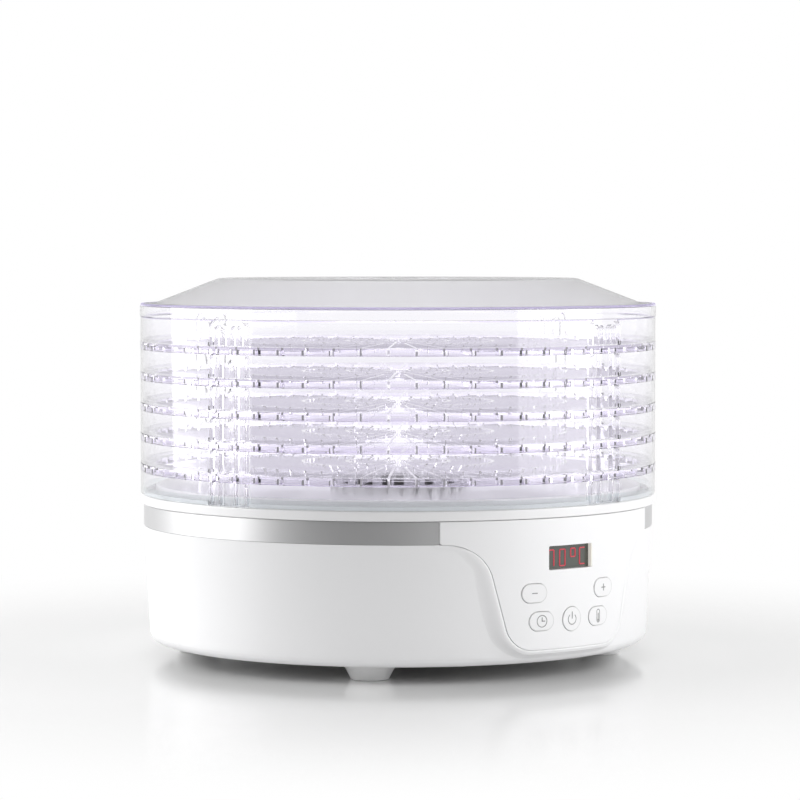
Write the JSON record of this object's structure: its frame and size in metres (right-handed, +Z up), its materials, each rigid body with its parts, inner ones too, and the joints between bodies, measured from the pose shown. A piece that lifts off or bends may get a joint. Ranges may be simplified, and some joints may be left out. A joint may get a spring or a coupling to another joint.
{
  "type": "food dehydrator",
  "caption": "Round food dehydrator: fan and heater base with a button panel and display, stacked clear spoked trays and a clear vented lid that lift off.",
  "frame": {"origin": "on the supporting surface, under the centre of the stack", "axes": "+Z up, control panel faces -Y, +X to the panel's right as seen from the front"},
  "size_m": [0.33, 0.33, 0.241],
  "materials": {
    "white_housing": "moulded white ABS, satin gloss",
    "white_deck": "moulded white ABS, glossy",
    "white_panel": "moulded white fascia, satin gloss",
    "white_cover": "moulded white, fine grain",
    "white_foot": "moulded white, satin",
    "silver_trim": "satin silver",
    "display_tint": "dark tinted, polished",
    "display_case": "matt black",
    "circuit_board": "green solder mask",
    "switch_black": "matt black",
    "button_white": "moulded white, satin",
    "screw_steel": "zinc plated",
    "bracket_steel": "plain steel",
    "motor_can": "plated steel",
    "duct_plastic": "heat resistant, matt",
    "mica": "layered mica sheet",
    "heating_wire": "oxidised heating wire",
    "probe_black": "matt black",
    "fan_plastic": "moulded dark grey",
    "clear_tray": "clear, polished",
    "clear_lid": "clear, polished"
  },
  "bodies": {
    "base": {"base_housing": "white_housing", "top_deck": "white_deck", "trim_band": "silver_trim", "control_panel": "white_panel", "display_window": "display_tint", "display_module": "display_case", "control_board": "circuit_board", "tact_switches": "switch_black", "board_screws": "screw_steel", "power_board": "circuit_board", "bottom_cover": "white_cover", "feet": "white_foot", "cover_screws": "screw_steel", "motor_bracket": "bracket_steel", "bracket_screws": "screw_steel", "fan_motor": "motor_can", "air_duct": "duct_plastic", "heater_frame": "mica", "heater_coils": "heating_wire", "thermostat": "motor_can", "temperature_probe": "probe_black", "outlet_grille": "white_deck"},
    "rotor": {"motor_shaft": "bracket_steel", "fan": "fan_plastic"},
    "key_minus": {"button_minus": "button_white"},
    "key_plus": {"button_plus": "button_white"},
    "key_timer": {"button_timer": "button_white"},
    "key_power": {"button_power": "button_white"},
    "key_temperature": {"button_temperature": "button_white"},
    "lift_tray_5": {"tray_5": "clear_tray"},
    "lift_tray_4": {"tray_4": "clear_tray"},
    "lift_tray_3": {"tray_3": "clear_tray"},
    "lift_tray_2": {"tray_2": "clear_tray"},
    "lift_tray_1": {"tray_1": "clear_tray"},
    "lift_lid": {"lid": "clear_lid"}
  },
  "joints": [
    {"name": "fan_spin", "type": "hinge", "parent": "base", "child": "rotor", "pos_m": [0, 0, 0.0717], "axis": [0, 0, 1], "continuous": true},
    {"name": "press_minus", "type": "slide", "parent": "base", "child": "key_minus", "axis": [0, 1, 0], "range_m": [0, 0.0007], "stiffness_N_per_m": 600, "springref_m": -0.001},
    {"name": "press_plus", "type": "slide", "parent": "base", "child": "key_plus", "axis": [0, 1, 0], "range_m": [0, 0.0007], "stiffness_N_per_m": 600, "springref_m": -0.001},
    {"name": "press_timer", "type": "slide", "parent": "base", "child": "key_timer", "axis": [0, 1, 0], "range_m": [0, 0.0007], "stiffness_N_per_m": 600, "springref_m": -0.001},
    {"name": "press_power", "type": "slide", "parent": "base", "child": "key_power", "axis": [0, 1, 0], "range_m": [0, 0.0007], "stiffness_N_per_m": 600, "springref_m": -0.001},
    {"name": "press_temperature", "type": "slide", "parent": "base", "child": "key_temperature", "axis": [0, 1, 0], "range_m": [0, 0.0007], "stiffness_N_per_m": 600, "springref_m": -0.001},
    {"name": "raise_tray_5", "type": "slide", "parent": "base", "child": "lift_tray_5", "axis": [0, 0, 1], "range_m": [0, 0.03]},
    {"name": "raise_tray_4", "type": "slide", "parent": "lift_tray_5", "child": "lift_tray_4", "axis": [0, 0, 1], "range_m": [0, 0.03]},
    {"name": "raise_tray_3", "type": "slide", "parent": "lift_tray_4", "child": "lift_tray_3", "axis": [0, 0, 1], "range_m": [0, 0.03]},
    {"name": "raise_tray_2", "type": "slide", "parent": "lift_tray_3", "child": "lift_tray_2", "axis": [0, 0, 1], "range_m": [0, 0.03]},
    {"name": "raise_tray_1", "type": "slide", "parent": "lift_tray_2", "child": "lift_tray_1", "axis": [0, 0, 1], "range_m": [0, 0.03]},
    {"name": "raise_lid", "type": "slide", "parent": "lift_tray_1", "child": "lift_lid", "axis": [0, 0, 1], "range_m": [0, 0.03]}
  ]
}
